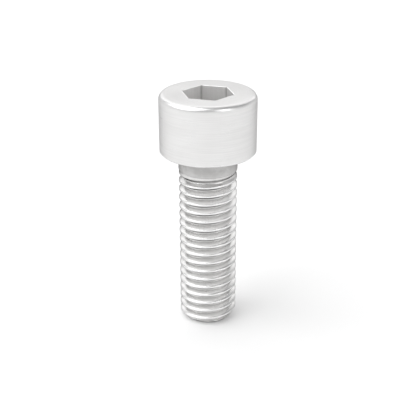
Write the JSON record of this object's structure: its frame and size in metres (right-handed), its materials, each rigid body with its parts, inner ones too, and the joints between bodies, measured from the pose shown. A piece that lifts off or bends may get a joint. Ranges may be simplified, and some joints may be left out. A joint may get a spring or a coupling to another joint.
{
  "type": "hex socket cap screw",
  "caption": "Hex socket cap screw with a smooth round head, a short plain neck and a right-hand thread down to a bevelled flat end.",
  "frame": {"origin": "centre of the flat end, on the screw's axis, where it stands", "axes": "+Z along the axis from the flat end to the head; +X through two opposite corners of the hex socket; +Y across its flats"},
  "size_m": [0.013, 0.013, 0.033],
  "materials": {
    "steel": "bright satin stainless steel, with fine turning marks"
  },
  "bodies": {
    "root": {"cap_screw": "steel"}
  },
  "joints": []
}
